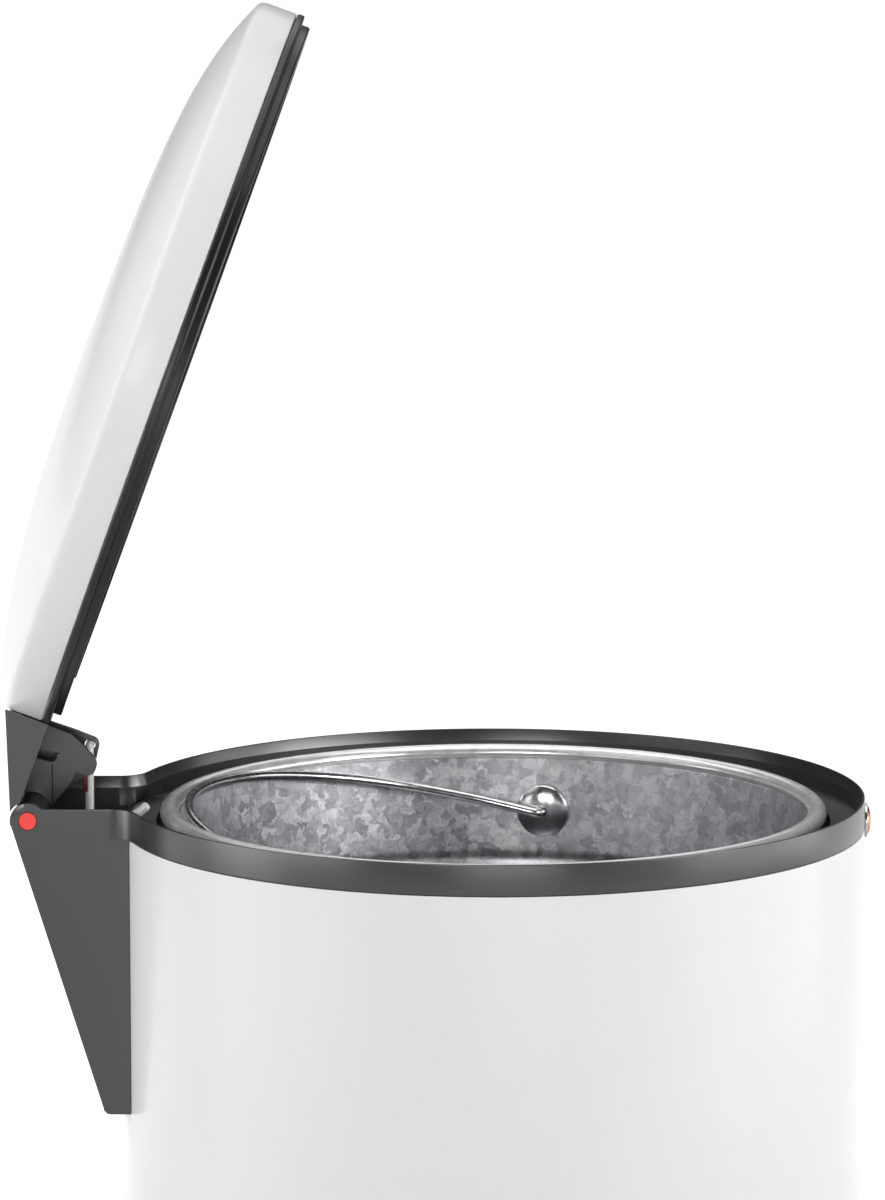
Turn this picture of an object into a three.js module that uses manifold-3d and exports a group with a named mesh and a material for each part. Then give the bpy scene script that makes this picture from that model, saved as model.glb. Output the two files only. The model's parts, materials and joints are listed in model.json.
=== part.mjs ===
// Pedal trash can with a hinged dome lid, a galvanised bucket and a lever that lifts the lid.
// Millimetres, +Z up. The origin is the centre of the underside; the pedal is at -Y, the hinge at +Y.
// The lid is stored open, with the pedal pressed down.
import * as THREE from 'three';
import { mergeVertices } from 'three/addons/utils/BufferGeometryUtils.js';
import Module from 'manifold-3d';

const wasm = await Module();
wasm.setup();

// Driving dimensions
const GAP = 0.3; // clearance between pieces that touch
const SEGMENTS = 56; // sides of the large round pieces

const BODY_R = 150; // outside radius of the shell, the collar and the lid
const COLLAR_TOP = 400; // height of the collar's top edge
const COLLAR_H = 12.2; // height of the collar's band
const COLLAR_WALL = 2.2;
const LEDGE_DROP = 10; // ledge below the collar's top edge
const LEDGE_R = 136; // hole in the ledge
const SHELL_WALL = 1.2;
const BASE_RING_H = 24; // visible height of the base tray

const HINGE_Y = 185.7;
const HINGE_Z = COLLAR_TOP - 4.8;
const LID_OPEN = THREE.MathUtils.degToRad(69.9);
const CHEEK_X = 37.5; // half width of the hinge housing
const KNUCKLE_R = 7.2;
const PIN_R = 2.5;
const HOUSING_DROP = 124.5; // bottom of the housing below the collar's top edge

const SKIRT_R = 146.6; // plug skirt of the lid's liner
const SIDE_WALL_Z = 18.5; // top of the lid's upright side, above the collar's top edge
const CROWN_Z = 37.6; // top of the dome, above the collar's top edge

const HOOK_Y = 163.2; // upper pivot of the push rod with the lid open
const HOOK_Z = COLLAR_TOP + 18.8;
const ROD_R = 1.75;
const ROD_LOW_Y = 141.5; // the rod between the bucket and the shell
const PIVOT_Y = -45; // pedal lever's axle
const PIVOT_Z = 30;
const LEVER_TILT = THREE.MathUtils.degToRad(5.65); // lever off level with the lid open
const LEVER_REAR = 186.5; // axle to rod
const FLOOR_Z = 58; // underside of the inner floor

const BUCKET_TURN = THREE.MathUtils.degToRad(-10.3);
const BUCKET_BOTTOM_Z = 60.5;
const BEAD_R = 130.9; // circle of the rolled rim
const BEAD_WIRE_R = 3.8;
const BEAD_Z = COLLAR_TOP - 7.2;
const BUCKET_WALL = 1;
const BUCKET_FOOT_R = 112;
const EAR_Z = COLLAR_TOP - 30.7; // bail pivot
const EAR_R = 11.3;
const BAIL_R = 116;
const BAIL_LEG = 10; // straight legs between the ears and the bail's half circle
const BAIL_TILT = THREE.MathUtils.degToRad(12.2);
const BAIL_WIRE_R = 2;

// Materials
const finish = (color, roughness, metalness) => new THREE.MeshStandardMaterial({ color, roughness, metalness });
const coatedSteel = finish(0xe4e4e6, 0.35, 0);
const darkPlastic = finish(0x3c3c3d, 0.5, 0);
const blackPlastic = finish(0x1c1c1d, 0.5, 0);
const redPlastic = finish(0xff5048, 0.5, 0);
const blackRubber = finish(0x222222, 0.9, 0);
const galvanised = finish(0xb4b8bb, 0.35, 1);
const brightSteel = finish(0xd0d0d2, 0.25, 1);
const copper = finish(0xd0603a, 0.3, 1);

// Shape helpers
function solid(geometry) {
  const plain = geometry.clone();
  plain.deleteAttribute('normal');
  plain.deleteAttribute('uv');
  const merged = mergeVertices(plain, 1e-4);
  const vertProperties = new Float32Array(merged.attributes.position.array);
  const triVerts = new Uint32Array(merged.index.array);
  const body = new wasm.Manifold(new wasm.Mesh({ numProp: 3, vertProperties, triVerts }));
  if (body.volume() > 0) return body;
  for (let i = 0; i < triVerts.length; i += 3) {
    const first = triVerts[i];
    triVerts[i] = triVerts[i + 1];
    triVerts[i + 1] = first;
  }
  return new wasm.Manifold(new wasm.Mesh({ numProp: 3, vertProperties, triVerts }));
}

function makeMesh(name, body, material) {
  const { vertProperties, triVerts } = body.getMesh();
  const geometry = new THREE.BufferGeometry();
  geometry.setAttribute('position', new THREE.BufferAttribute(new Float32Array(vertProperties), 3));
  geometry.setIndex(new THREE.BufferAttribute(new Uint32Array(triVerts), 1));
  const mesh = new THREE.Mesh(geometry, material);
  mesh.name = name;
  return mesh;
}

// Turns a profile of [radius, height] points about the Z axis.
function revolve(profile, segments = SEGMENTS) {
  const points = profile.map(([r, z]) => new THREE.Vector2(r, z));
  if (profile[0][0] > 0) points.push(points[0].clone());
  const geometry = new THREE.LatheGeometry(points, segments);
  geometry.rotateX(Math.PI / 2);
  return solid(geometry);
}

// Points on an arc, from one angle to another in degrees.
function arcPoints(cx, cy, r, from, to, steps) {
  const points = [];
  for (let i = 0; i <= steps; i++) {
    const a = THREE.MathUtils.degToRad(from + ((to - from) * i) / steps);
    points.push([cx + r * Math.cos(a), cy + r * Math.sin(a)]);
  }
  return points;
}

function shapeOf(points, holes = []) {
  const shape = new THREE.Shape(points.map(([x, y]) => new THREE.Vector2(x, y)));
  holes.forEach((hole) => shape.holes.push(new THREE.Path(hole.map(([x, y]) => new THREE.Vector2(x, y)))));
  return shape;
}

// Extrudes an outline in the Y-Z plane from x0 to x1.
function extrudeX(points, x0, x1, holes = []) {
  const geometry = new THREE.ExtrudeGeometry(shapeOf(points, holes), { depth: x1 - x0, bevelEnabled: false });
  const toX = new THREE.Matrix4().makeBasis(
    new THREE.Vector3(0, 1, 0),
    new THREE.Vector3(0, 0, 1),
    new THREE.Vector3(1, 0, 0),
  );
  geometry.applyMatrix4(toX);
  return solid(geometry).translate([x0, 0, 0]);
}

// Extrudes an outline in the X-Y plane from z0 to z1.
function extrudeZ(points, z0, z1, holes = []) {
  const geometry = new THREE.ExtrudeGeometry(shapeOf(points, holes), { depth: z1 - z0, bevelEnabled: false });
  return solid(geometry).translate([0, 0, z0]);
}

function box(x0, x1, y0, y1, z0, z1) {
  const geometry = new THREE.BoxGeometry(x1 - x0, y1 - y0, z1 - z0);
  return solid(geometry).translate([(x0 + x1) / 2, (y0 + y1) / 2, (z0 + z1) / 2]);
}

// A cylinder along X, Y or Z.
function rod(axis, radius, from, to, a, b, sides = 16) {
  const geometry = new THREE.CylinderGeometry(radius, radius, to - from, sides);
  const middle = (from + to) / 2;
  if (axis === 'x') return solid(geometry.rotateZ(Math.PI / 2)).translate([middle, a, b]);
  return solid(geometry.rotateX(Math.PI / 2)).translate([a, b, middle]);
}

// A bent wire through corner points, each corner rounded by the bend radius.
function wire(corners, radius, bend, steps, sides = 10) {
  const points = corners.map((c) => new THREE.Vector3(...c));
  const path = new THREE.CurvePath();
  let last = points[0];
  for (let i = 1; i < points.length - 1; i++) {
    const before = points[i].clone().add(points[i - 1].clone().sub(points[i]).setLength(bend));
    const after = points[i].clone().add(points[i + 1].clone().sub(points[i]).setLength(bend));
    path.add(new THREE.LineCurve3(last, before));
    path.add(new THREE.QuadraticBezierCurve3(before, points[i], after));
    last = after;
  }
  path.add(new THREE.LineCurve3(last, points[points.length - 1]));
  return tube(path, radius, steps, sides);
}

function tube(path, radius, steps, sides = 10) {
  const section = shapeOf(arcPoints(0, 0, radius, 0, 360 - 360 / sides, sides - 1));
  return solid(new THREE.ExtrudeGeometry(section, { steps, extrudePath: path, bevelEnabled: false }));
}

// Shell, base and inner floor
const PEDAL_SLOT_X = 24;
const PEDAL_SLOT_TOP = 56;
const SHELL_TOP = COLLAR_TOP - COLLAR_H - GAP;
const ROD_SLOT_X = 6;
const STOP_WIRE_X = -25;

function bodyShell() {
  const inner = BODY_R - SHELL_WALL;
  const bottom = BASE_RING_H + GAP;
  const tube = revolve([
    [inner, bottom],
    [BODY_R, bottom],
    [BODY_R, SHELL_TOP],
    [inner, SHELL_TOP],
  ]);
  const pedalSlot = box(-PEDAL_SLOT_X, PEDAL_SLOT_X, -160, -130, 0, PEDAL_SLOT_TOP);
  const rodSlot = box(-ROD_SLOT_X, ROD_SLOT_X, 140, 160, COLLAR_TOP - 122, COLLAR_TOP - 42);
  return tube.subtract(pedalSlot).subtract(rodSlot);
}

const POST_R = 7;
const POST_PLACES = [[72, 52], [-72, 52], [72, -64], [-72, -64]];
const BEARING_X = 16; // middle of each axle bearing
const SCREW_R = 2;

function baseTray() {
  const lipOuter = BODY_R - SHELL_WALL - 0.4;
  const lipInner = lipOuter - 2.4;
  const groove = [138, 146];
  let tray = revolve([
    [0, 0],
    [groove[0], 0],
    [groove[0], 1.5],
    [groove[1], 1.5],
    [groove[1], 0],
    [BODY_R, 0],
    [BODY_R, BASE_RING_H],
    [lipOuter, BASE_RING_H],
    [lipOuter, BASE_RING_H + 10],
    [lipInner, BASE_RING_H + 10],
    [lipInner, 4],
    [0, 4],
  ]);
  POST_PLACES.forEach(([x, y]) => {
    const post = rod('z', POST_R, 3, FLOOR_Z - GAP, x, y, 20);
    const bore = rod('z', SCREW_R + 0.3, FLOOR_Z - 14, FLOOR_Z + 1, x, y, 12);
    tray = tray.add(post).subtract(bore);
  });
  [-BEARING_X, BEARING_X].forEach((x) => {
    const block = box(x - 5, x + 5, PIVOT_Y - 10, PIVOT_Y + 10, 3, PIVOT_Z + 1);
    tray = tray.add(block).subtract(rod('x', 3.5, x - 6, x + 6, PIVOT_Y, PIVOT_Z));
    tray = tray.subtract(box(x - 6, x + 6, PIVOT_Y - 3.5, PIVOT_Y + 3.5, PIVOT_Z, PIVOT_Z + 2));
  });
  const leverSlot = box(-PEDAL_SLOT_X, PEDAL_SLOT_X, -160, -130, 6, 60);
  const leverNotch = box(LEVER_X[0] - 1.2, LEVER_X[1] + 1.2, 140, lipInner + 1.4, 4, 60);
  return tray.subtract(leverSlot).subtract(leverNotch);
}

function floorRing() {
  const ring = { inner: 138.3, outer: 145.7, top: 1.2 };
  return revolve([
    [ring.inner, 0],
    [ring.outer, 0],
    [ring.outer, ring.top],
    [ring.inner, ring.top],
  ], 48);
}

function innerFloor() {
  let floor = revolve([
    [0, FLOOR_Z],
    [118, FLOOR_Z],
    [118, FLOOR_Z + 2],
    [0, FLOOR_Z + 2],
  ], 48);
  POST_PLACES.forEach(([x, y]) => {
    floor = floor.subtract(rod('z', SCREW_R + 0.3, FLOOR_Z - 1, FLOOR_Z + 3, x, y, 12));
    floor = floor.subtract(rod('z', 5, FLOOR_Z + 1, FLOOR_Z + 3, x, y, 16));
  });
  return floor;
}

// A screw along Z: its head's top is at the origin and its shank points down.
function screw(headR, headH, shankR, length) {
  return revolve([
    [0, 0],
    [headR * 0.7, 0],
    [headR, -headH * 0.5],
    [headR, -headH],
    [shankR, -headH],
    [shankR, -length],
    [0, -length],
  ], 14);
}

function axleClamp(x) {
  const clamp = box(x - 5, x + 5, PIVOT_Y - 10, PIVOT_Y + 10, PIVOT_Z + 1 + GAP, PIVOT_Z + 7);
  return clamp.subtract(rod('x', 3.5, x - 6, x + 6, PIVOT_Y, PIVOT_Z));
}

// Collar with the hinge cheeks and the housing
const HOUSING_BACK = [[192.5, -6], [156.5, -121.8]]; // sloping rear edge, below the collar's top edge
const BAND_END = 179; // the band runs along each cheek to here
const CORNER_R = 11; // concave corner between the ring and a cheek

// One side of the collar's band from the cheek round to the front, set in from the outer face.
function bandSide(inset) {
  const x = CHEEK_X + CORNER_R;
  const y = Math.sqrt((BODY_R + CORNER_R) ** 2 - x ** 2);
  const touch = THREE.MathUtils.radToDeg(Math.atan2(y, x));
  return [
    [CHEEK_X - inset, BAND_END + 1],
    ...arcPoints(x, y, CORNER_R + inset, 180, 180 + touch, 6),
    ...arcPoints(0, 0, BODY_R - inset, touch, -90, 28).slice(1),
  ];
}

function bandLoop(inset) {
  const side = bandSide(inset);
  const other = side.slice(0, -1).reverse().map(([x, y]) => [-x, y]);
  return [...side, ...other];
}

function housingOutline() {
  const [top, low] = HOUSING_BACK;
  return [
    [BAND_END, 0],
    ...arcPoints(HINGE_Y, -4.8, KNUCKLE_R, 138, -10, 12),
    top,
    low,
    ...arcPoints(153.6, -121.5, 3, -20, -90, 3),
    [148, -HOUSING_DROP],
    [140, -HOUSING_DROP],
    [140, -COLLAR_H + 0.2],
    [BAND_END, -COLLAR_H + 0.2],
  ].map(([y, z]) => [y, z + COLLAR_TOP]);
}

function rimCollar() {
  const ledgeZ = COLLAR_TOP - LEDGE_DROP;
  const bandLow = COLLAR_TOP - COLLAR_H;
  const band = extrudeZ([...bandLoop(0), ...bandLoop(COLLAR_WALL).reverse()], bandLow, COLLAR_TOP);
  const ledge = revolve([
    [LEDGE_R, bandLow],
    [BODY_R - COLLAR_WALL + 0.7, bandLow],
    [BODY_R - COLLAR_WALL + 0.7, ledgeZ],
    [LEDGE_R, ledgeZ],
  ]);
  const insideX = CHEEK_X - COLLAR_WALL;
  const shellHole = rod('z', BODY_R + GAP, 0, bandLow + 0.01, 0, 0, SEGMENTS);
  const [top, low] = HOUSING_BACK;
  const hollow = extrudeX([
    [130, COLLAR_TOP + 60],
    [186, COLLAR_TOP + 60],
    [186, COLLAR_TOP - 14],
    [top[0] - 4.2, COLLAR_TOP + top[1] - 8],
    [low[0] - 2.2, COLLAR_TOP + low[1] + 1.5],
    [low[0] - 4, COLLAR_TOP - HOUSING_DROP + COLLAR_WALL],
    [130, COLLAR_TOP - HOUSING_DROP + COLLAR_WALL],
  ], -insideX, insideX);
  const hingeSpace = rod('x', KNUCKLE_R + 1.6, -insideX, insideX, HINGE_Y, HINGE_Z, 24);
  const topSpace = box(-insideX, insideX, HINGE_Y - 2, 200, COLLAR_TOP - 7.5, 460);
  const housing = extrudeX(housingOutline(), -CHEEK_X, CHEEK_X)
    .subtract(hollow)
    .subtract(hingeSpace)
    .subtract(topSpace)
    .subtract(shellHole);
  const socket = box(-insideX - 1, STOP_WIRE_X + 3.5, 151.2, 158, COLLAR_TOP - 74, COLLAR_TOP - 60);
  const socketHole = rod('z', 2.4, COLLAR_TOP - 71, COLLAR_TOP - 50, STOP_WIRE_X, 154.6, 12);
  return band
    .add(ledge)
    .add(housing)
    .add(socket)
    .subtract(socketHole)
    .subtract(rod('x', PIN_R + 0.3, -50, 50, HINGE_Y, HINGE_Z))
    .subtract(rod('x', 3.9, CHEEK_X - 1.2, CHEEK_X + 1, HINGE_Y, HINGE_Z, 20))
    .subtract(rod('x', 3.9, -CHEEK_X - 1, -CHEEK_X + 1.2, HINGE_Y, HINGE_Z, 20));
}

function hingeCap(side) {
  const from = CHEEK_X - 0.9;
  const to = CHEEK_X + 0.3;
  const [low, high] = side > 0 ? [from, to] : [-to, -from];
  return rod('x', 3.5, low, high, HINGE_Y, HINGE_Z, 24);
}

function stopWire() {
  const drop = (z) => COLLAR_TOP - z;
  return wire([
    [STOP_WIRE_X, 154.6, drop(70.5)],
    [STOP_WIRE_X, 154.6, drop(13.2)],
    [STOP_WIRE_X, 138.2, drop(0.4)],
  ], 1.9, 6, 14);
}

// Badge at the front of the collar
const BADGE_Z = COLLAR_TOP - 11.4;

function turnToFront(body) {
  return body.rotate([90, 0, 0]).translate([0, -BODY_R - GAP, BADGE_Z]);
}

function badgeRing() {
  return turnToFront(revolve([[6, 0], [7, 0], [7, 0.8], [6.7, 1.1], [6, 1.1]], 32));
}

function badgeDome() {
  return turnToFront(revolve([[0, 0], [5.7, 0], [5.7, 1.1], [4.4, 1.9], [2.4, 2.4], [0, 2.6]], 32));
}

// Lid, modelled closed; heights are above the collar's top edge
const toLid = (profile) => profile.map(([r, z]) => [r, z + COLLAR_TOP]);

function domeHeight(r) {
  const k = r / BODY_R;
  return CROWN_Z - 6 * k ** 2 - 13 * k ** 5;
}

function domeProfile(offset) {
  const points = [];
  for (let i = 0; i <= 6; i++) {
    const r = 146 * Math.sin((Math.PI / 2) * (i / 6));
    points.push([r, domeHeight(r) - offset]);
  }
  return points;
}

const COVER_FRONT_R = BODY_R + GAP;

function lidShell() {
  const wall = 1.2;
  const low = 3.6;
  const outer = [...domeProfile(0), [149.2, SIDE_WALL_Z + 0.4], [BODY_R, SIDE_WALL_Z - 1.4], [BODY_R, low]];
  const rim = [[BODY_R - wall, low], [BODY_R - wall, SIDE_WALL_Z - 2]];
  const inner = domeProfile(wall).reverse();
  return revolve(toLid([...outer, ...rim, ...inner]));
}

function lidLiner() {
  const ring = revolve(toLid([
    [118, 1.2],
    [143.6, 1.2],
    [144.2, -2.4],
    [145, -3.2],
    [146, -3.2],
    [SKIRT_R, -2.4],
    [SKIRT_R, 0.3],
    [BODY_R - 0.2, 0.3],
    [BODY_R + 0.3, 1],
    [BODY_R + 0.3, 2.6],
    [BODY_R - 0.4, 3.3],
    [118, 3.3],
  ]));
  const skirtGap = box(-45, 45, 130, 160, COLLAR_TOP - 6, COLLAR_TOP + 0.4);
  const rearCut = box(-CHEEK_X - GAP, CHEEK_X + GAP, 144.9, 170, COLLAR_TOP - 6, COLLAR_TOP + 5);
  return ring.subtract(skirtGap).subtract(rearCut);
}

const COVER_FRONT = [143, 20]; // front end of the hinge cover's sloping top
const COVER_LOW = 0.4;

function hingeCover() {
  const swing = KNUCKLE_R + 0.7;
  const outline = [
    [COVER_FRONT[0], COVER_LOW],
    COVER_FRONT,
    ...arcPoints(HINGE_Y, -4.8, swing, 97, 138, 6),
  ].map(([y, z]) => [y, z + COLLAR_TOP]);
  const inside = [
    [100, -10],
    [100, 35.3],
    [HINGE_Y - 6, 2.7],
    [HINGE_Y + 5, -10],
  ].map(([y, z]) => [y, z + COLLAR_TOP]);
  const wall = 2.2;
  return extrudeX(outline, -CHEEK_X, CHEEK_X)
    .subtract(extrudeX(inside, -CHEEK_X + wall, CHEEK_X - wall))
    .subtract(rod('z', COVER_FRONT_R + 0.4, 0, 500, 0, 0, SEGMENTS));
}

// Arm plate with its barrel on the pin. Outlines are [Y, height] with the lid closed.
const ARM_TOP = [[152.4, 1], [152.4, 13.2], [173, 4.6]];
const NEAR_ARM_LOW = [[182.6, -12.2], [175.9, -14.1], [171.8, -15.6], [168, -16.2], [166.3, -16.2], [166.3, -20.2],
  [165.6, -21.9], [164.3, -23.1], [162.4, -23.4], [160.2, -23.1], [158.6, -21.9], [155.1, -15.6], [152.6, -9.6]];
const FAR_ARM_LOW = [[182.6, -12.2], [173.5, -16.5], [169.6, -19.8], [166, -22], [160.5, -22.2], [156.2, -21.6],
  [154.9, -21.4], [153.5, -20.5], [152.6, -19], [152.2, -17.5]];

function lidArm(low, plateX, barrelX, hasHook) {
  const outline = [...ARM_TOP, ...arcPoints(HINGE_Y, -4.8, 6.4, 130, -130, 12), ...low];
  let arm = extrudeX(outline.map(([y, z]) => [y, z + COLLAR_TOP]), ...plateX);
  arm = arm.add(rod('x', 6.4, ...barrelX, HINGE_Y, HINGE_Z, 20));
  arm = arm.subtract(rod('x', PIN_R + 0.4, -50, 50, HINGE_Y, HINGE_Z));
  if (!hasHook) return arm;
  return arm.subtract(rod('x', ROD_R + 0.5, plateX[0] - 1, plateX[1] + 1, HOOK_CLOSED[0], HOOK_CLOSED[1]));
}

// The rod's upper pivot with the lid closed
const HOOK_CLOSED = (() => {
  const y = HOOK_Y - HINGE_Y;
  const z = HOOK_Z - HINGE_Z;
  const turn = Math.cos(LID_OPEN);
  const rise = Math.sin(LID_OPEN);
  return [HINGE_Y + y * turn - z * rise, HINGE_Z + y * rise + z * turn];
})();

// Push rod: hook in the far arm, down the housing, forward through the shell, down to the lever
const FOOT_Z = PIVOT_Z + LEVER_REAR * Math.sin(LEVER_TILT);

function pushRod() {
  return wire([
    [8.4, HOOK_Y, HOOK_Z],
    [0, HOOK_Y, HOOK_Z],
    [0, HOOK_Y, COLLAR_TOP - 52],
    [0, ROD_LOW_Y, COLLAR_TOP - 78],
    [0, ROD_LOW_Y, FOOT_Z],
    [12, ROD_LOW_Y, FOOT_Z],
  ], ROD_R, 4, 50, 8);
}

// A clip that grips the rod from behind
function rodClip() {
  const grip = rod('z', ROD_R + GAP, HOOK_Z - 20, HOOK_Z - 6, 0, HOOK_Y);
  return box(-2.9, 2.9, HOOK_Y + 0.7, HOOK_Y + 2.6, HOOK_Z - 18, HOOK_Z - 8).subtract(grip);
}

// Pedal lever about its axle; built level, then tilted
const LEVER_X = [5.2, 9.2];
const PAD_Y = -108; // front end of the bar

function pedalLever() {
  const slot = [
    ...arcPoints(LEVER_REAR - 9.5, 0, 3.8, 90, 270, 6),
    ...arcPoints(LEVER_REAR - 0.7, 0, 3.8, -90, 90, 6),
  ];
  const outline = [
    ...arcPoints(LEVER_REAR - 2, 0, 7, -75, 75, 6),
    [20, 6],
    ...arcPoints(0, 0, 9, 45, 135, 4),
    [-20, 6],
    [-140, 6],
    [-140, 0],
    [PAD_Y, -6],
    [-20, -6],
    ...arcPoints(0, 0, 9, 225, 315, 4),
    [20, -6],
  ];
  const axleHole = arcPoints(0, 0, 3.4, 0, 345, 23);
  return extrudeX(outline, ...LEVER_X, [slot, axleHole]);
}

function pedalOutline(inset) {
  const half = 32 - inset;
  return [
    [-half, -108],
    ...arcPoints(-half + 14, -132, 14, 180, 270, 5),
    ...arcPoints(half - 14, -132, 14, 270, 360, 5),
    [half, -108],
  ];
}

function pedalPlate() {
  const plate = extrudeZ(pedalOutline(0), 6 + GAP, 8.8);
  const tongue = box(-14, 14, -112, -88, 6 + GAP, 8.8);
  return plate.add(tongue);
}

function pedalPad() {
  let pad = extrudeZ(pedalOutline(3), 8.8 + GAP, 11.4);
  for (let i = 0; i < 5; i++) {
    const y = -114 - i * 6;
    pad = pad.add(box(-22, 22, y - 1.2, y + 1.2, 11, 12.6));
  }
  return pad;
}

// Bucket, modelled with its ears on the X axis
function bucketProfile() {
  const bead = arcPoints(BEAD_R, BEAD_Z, BEAD_WIRE_R, 180, -90, 9);
  const topInner = BEAD_R - BEAD_WIRE_R;
  return [
    [BUCKET_FOOT_R - BUCKET_WALL, BUCKET_BOTTOM_Z],
    [BUCKET_FOOT_R - BUCKET_WALL, BUCKET_BOTTOM_Z + 8],
    ...bead,
    [topInner + BUCKET_WALL, BEAD_Z - 3.6],
    [BUCKET_FOOT_R, BUCKET_BOTTOM_Z + 8],
    [BUCKET_FOOT_R, BUCKET_BOTTOM_Z],
  ];
}

function bucketBottom() {
  const r = BUCKET_FOOT_R - BUCKET_WALL - GAP;
  const z = BUCKET_BOTTOM_Z;
  return revolve([[0, z + 4.2], [r - 3, z + 4.2], [r - 3, z], [r, z], [r, z + 5.4], [0, z + 5.4]], 48);
}

const EAR_FACE = 125; // back of each ear, from the axis

function ear(side) {
  const dome = revolve([
    [2.5, 0],
    [EAR_R, 0],
    [EAR_R - 0.3, 1.2],
    [8.2, 3],
    [4.6, 4.2],
    [2.5, 4.6],
  ], 28);
  return dome.rotate([0, -90 * side, 0]).translate([side * EAR_FACE, 0, EAR_Z]);
}

function bailWire() {
  const points = [[EAR_FACE - 1.6, 0], [118.4, 0], [BAIL_R + 0.4, 3.4], [BAIL_R, BAIL_LEG]];
  for (let angle = 12; angle <= 90; angle += 13) {
    const a = THREE.MathUtils.degToRad(angle);
    points.push([BAIL_R * Math.cos(a), BAIL_LEG + BAIL_R * Math.sin(a)]);
  }
  const right = points.map(([x, y]) => new THREE.Vector3(x, y, 0));
  const left = right.slice(0, -1).reverse().map((p) => new THREE.Vector3(-p.x, p.y, 0));
  const path = new THREE.CatmullRomCurve3([...right, ...left], false, 'centripetal');
  return tube(path, BAIL_WIRE_R, 52, 8);
}

// Assembly
const can = new THREE.Group();

const root = new THREE.Group();
root.add(makeMesh('body_shell', bodyShell(), coatedSteel));
root.add(makeMesh('base_tray', baseTray(), blackPlastic));
root.add(makeMesh('floor_ring', floorRing(), blackRubber));
root.add(makeMesh('inner_floor', innerFloor(), blackPlastic));
POST_PLACES.forEach(([x, y], i) => {
  const floorScrew = screw(4.6, 1.7, SCREW_R, 13).translate([x, y, FLOOR_Z + 3]);
  root.add(makeMesh(`floor_screw_${i + 1}`, floorScrew, brightSteel));
});
root.add(makeMesh('pedal_axle', rod('x', 3, -25, 25, PIVOT_Y, PIVOT_Z), brightSteel));
root.add(makeMesh('axle_clamp_left', axleClamp(-BEARING_X), blackPlastic));
root.add(makeMesh('axle_clamp_right', axleClamp(BEARING_X), blackPlastic));
root.add(makeMesh('rim_collar', rimCollar(), darkPlastic));
root.add(makeMesh('hinge_pin', rod('x', PIN_R, -CHEEK_X + 1.3, CHEEK_X - 1.3, HINGE_Y, HINGE_Z), brightSteel));
root.add(makeMesh('hinge_cap_left', hingeCap(-1), redPlastic));
root.add(makeMesh('hinge_cap_right', hingeCap(1), redPlastic));
root.add(makeMesh('stop_wire', stopWire(), galvanised));
root.add(makeMesh('badge_ring', badgeRing(), brightSteel));
root.add(makeMesh('badge_dome', badgeDome(), copper));
can.add(root);

const lid = new THREE.Group();
lid.position.set(0, HINGE_Y, HINGE_Z);
lid.rotation.x = -LID_OPEN;
const closedLid = new THREE.Group();
closedLid.position.set(0, -HINGE_Y, -HINGE_Z);
closedLid.add(makeMesh('lid_shell', lidShell(), coatedSteel));
closedLid.add(makeMesh('lid_liner', lidLiner(), blackPlastic));
closedLid.add(makeMesh('hinge_cover', hingeCover(), darkPlastic));
closedLid.add(makeMesh('lid_arm_left', lidArm(NEAR_ARM_LOW, [-7, -4], [-34.9, -4], false), darkPlastic));
closedLid.add(makeMesh('lid_arm_right', lidArm(FAR_ARM_LOW, [4, 7], [4, 34.9], true), darkPlastic));
lid.add(closedLid);
can.add(lid);

const linkage = new THREE.Group();
linkage.add(makeMesh('push_rod', pushRod(), galvanised));
linkage.add(makeMesh('rod_clip', rodClip(), redPlastic));
can.add(linkage);

const pedal = new THREE.Group();
pedal.position.set(0, PIVOT_Y, PIVOT_Z);
pedal.rotation.x = LEVER_TILT;
pedal.add(makeMesh('pedal_lever', pedalLever(), brightSteel));
pedal.add(makeMesh('pedal_plate', pedalPlate(), brightSteel));
pedal.add(makeMesh('pedal_pad', pedalPad(), blackRubber));
can.add(pedal);

const bucket = new THREE.Group();
bucket.rotation.z = BUCKET_TURN;
bucket.add(makeMesh('bucket_wall', revolve(bucketProfile()), galvanised));
bucket.add(makeMesh('bucket_bottom', bucketBottom(), galvanised));
bucket.add(makeMesh('ear_left', ear(-1), brightSteel));
bucket.add(makeMesh('ear_right', ear(1), brightSteel));
const bail = new THREE.Group();
bail.position.set(0, 0, EAR_Z);
bail.rotation.x = BAIL_TILT;
bail.add(makeMesh('bail', bailWire(), galvanised));
bucket.add(bail);
can.add(bucket);

export default can;
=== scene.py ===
"""Pedal trash can: fine pieces, materials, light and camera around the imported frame. Metres, +Z up."""
import json
import math

import bmesh
import bpy
from mathutils import Matrix, Vector


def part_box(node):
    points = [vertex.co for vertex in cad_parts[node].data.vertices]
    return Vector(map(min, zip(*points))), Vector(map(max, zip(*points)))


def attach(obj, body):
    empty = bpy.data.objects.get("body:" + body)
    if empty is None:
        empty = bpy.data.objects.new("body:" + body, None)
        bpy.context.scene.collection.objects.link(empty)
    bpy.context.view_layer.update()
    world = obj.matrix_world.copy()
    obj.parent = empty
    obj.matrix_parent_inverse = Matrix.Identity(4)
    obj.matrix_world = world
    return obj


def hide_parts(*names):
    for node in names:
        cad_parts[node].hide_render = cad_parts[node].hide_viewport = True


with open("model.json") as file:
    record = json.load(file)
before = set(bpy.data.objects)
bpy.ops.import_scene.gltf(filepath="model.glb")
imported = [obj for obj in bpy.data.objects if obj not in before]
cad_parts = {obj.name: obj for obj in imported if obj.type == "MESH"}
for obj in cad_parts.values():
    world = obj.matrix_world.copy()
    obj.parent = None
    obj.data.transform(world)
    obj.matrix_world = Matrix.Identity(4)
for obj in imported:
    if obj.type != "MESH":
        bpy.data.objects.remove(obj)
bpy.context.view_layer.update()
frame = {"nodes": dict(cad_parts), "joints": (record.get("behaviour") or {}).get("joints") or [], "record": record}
JOINTS = {j["name"]: j for j in frame["joints"]}
MM = 0.001

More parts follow.
